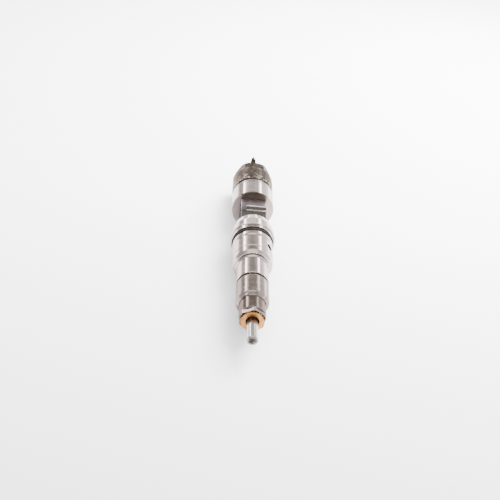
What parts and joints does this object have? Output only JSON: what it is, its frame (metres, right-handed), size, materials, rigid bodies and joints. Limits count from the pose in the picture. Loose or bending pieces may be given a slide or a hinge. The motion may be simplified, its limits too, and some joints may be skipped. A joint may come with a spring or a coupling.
{
  "type": "fuel injector",
  "caption": "Common-rail diesel injector with a stepped steel body, square clamping neck, solenoid cap nut, nozzle nut, copper seal washer and moving needle and armature.",
  "frame": {"origin": "on the injector's axis, halfway between the nozzle's tip and the ends of the terminal studs", "axes": "+Y along the axis from the nozzle to the terminals, +Z square to the neck's milled flat that carries the index slot, +X to the side of the fuel inlet"},
  "size_m": [0.031, 0.2206, 0.031],
  "materials": {
    "ground_steel": "ground and polished bearing steel",
    "bright_steel": "fine ground, hardened steel",
    "phosphated_steel": "satin, thinly phosphated, warm grey",
    "dark_steel": "dark phosphated, matt with light scuffs",
    "spring_steel": "oiled spring wire",
    "stud_steel": "dull plated thread",
    "magnet_iron": "pressed soft-magnetic iron",
    "copper": "annealed copper, satin",
    "winding_wire": "enamelled copper wire",
    "rubber": "black fluoroelastomer, dull",
    "black_plastic": "glass-filled moulding",
    "white_plastic": "natural sealing polymer"
  },
  "bodies": {
    "injector": {"injector_body": "ground_steel", "nozzle_retaining_nut": "phosphated_steel", "nozzle_body": "bright_steel", "nozzle_spring": "spring_steel", "nozzle_spring_shim": "bright_steel", "dowel_pin_left": "bright_steel", "dowel_pin_right": "bright_steel", "copper_seal_washer": "copper", "body_o_ring": "rubber", "inlet_edge_filter": "bright_steel", "valve_piece": "bright_steel", "valve_piece_seal": "white_plastic", "armature_guide": "bright_steel", "armature_clamp_nut": "phosphated_steel", "air_gap_shim": "bright_steel", "magnet_core": "magnet_iron", "coil_bobbin": "black_plastic", "coil_winding": "winding_wire", "magnet_spring": "spring_steel", "spring_preload_shim": "bright_steel", "magnet_housing": "ground_steel", "solenoid_o_ring": "rubber", "solenoid_cap_nut": "dark_steel", "terminal_insulator": "black_plastic", "terminal_stud_upper": "stud_steel", "terminal_stud_lower": "stud_steel"},
    "needle": {"nozzle_needle": "bright_steel", "pressure_pin": "bright_steel"},
    "plunger": {"control_plunger": "bright_steel"},
    "valve_ball": {"valve_ball": "bright_steel", "ball_holder": "bright_steel"},
    "armature": {"armature_pin": "bright_steel", "armature_c_washer": "spring_steel", "armature_return_spring": "spring_steel"},
    "armature_plate": {"armature_plate": "magnet_iron"}
  },
  "joints": [
    {"name": "needle_lift", "type": "slide", "parent": "injector", "child": "needle", "axis": [0, 1, 0], "range_m": [0, 0.0003], "stiffness_N_per_m": 300, "springref_m": -0.005, "deforming": ["nozzle_spring"]},
    {"name": "plunger_lift", "type": "slide", "parent": "injector", "child": "plunger", "axis": [0, 1, 0], "range_m": [0, 0.0003]},
    {"name": "armature_lift", "type": "slide", "parent": "injector", "child": "armature", "axis": [0, 1, 0], "range_m": [0, 0.00006], "stiffness_N_per_m": 300, "springref_m": -0.005, "deforming": ["magnet_spring"]},
    {"name": "valve_ball_lift", "type": "slide", "parent": "injector", "child": "valve_ball", "axis": [0, 1, 0], "range_m": [0, 0.00006]},
    {"name": "armature_plate_overtravel", "type": "slide", "parent": "armature", "child": "armature_plate", "axis": [0, 1, 0], "range_m": [-0.00004, 0], "stiffness_N_per_m": 200, "springref_m": 0.005, "deforming": ["armature_return_spring"]}
  ],
  "couplings": [
    {"joint": "plunger_lift", "follows": "needle_lift", "ratio": 1},
    {"joint": "valve_ball_lift", "follows": "armature_lift", "ratio": 1}
  ]
}
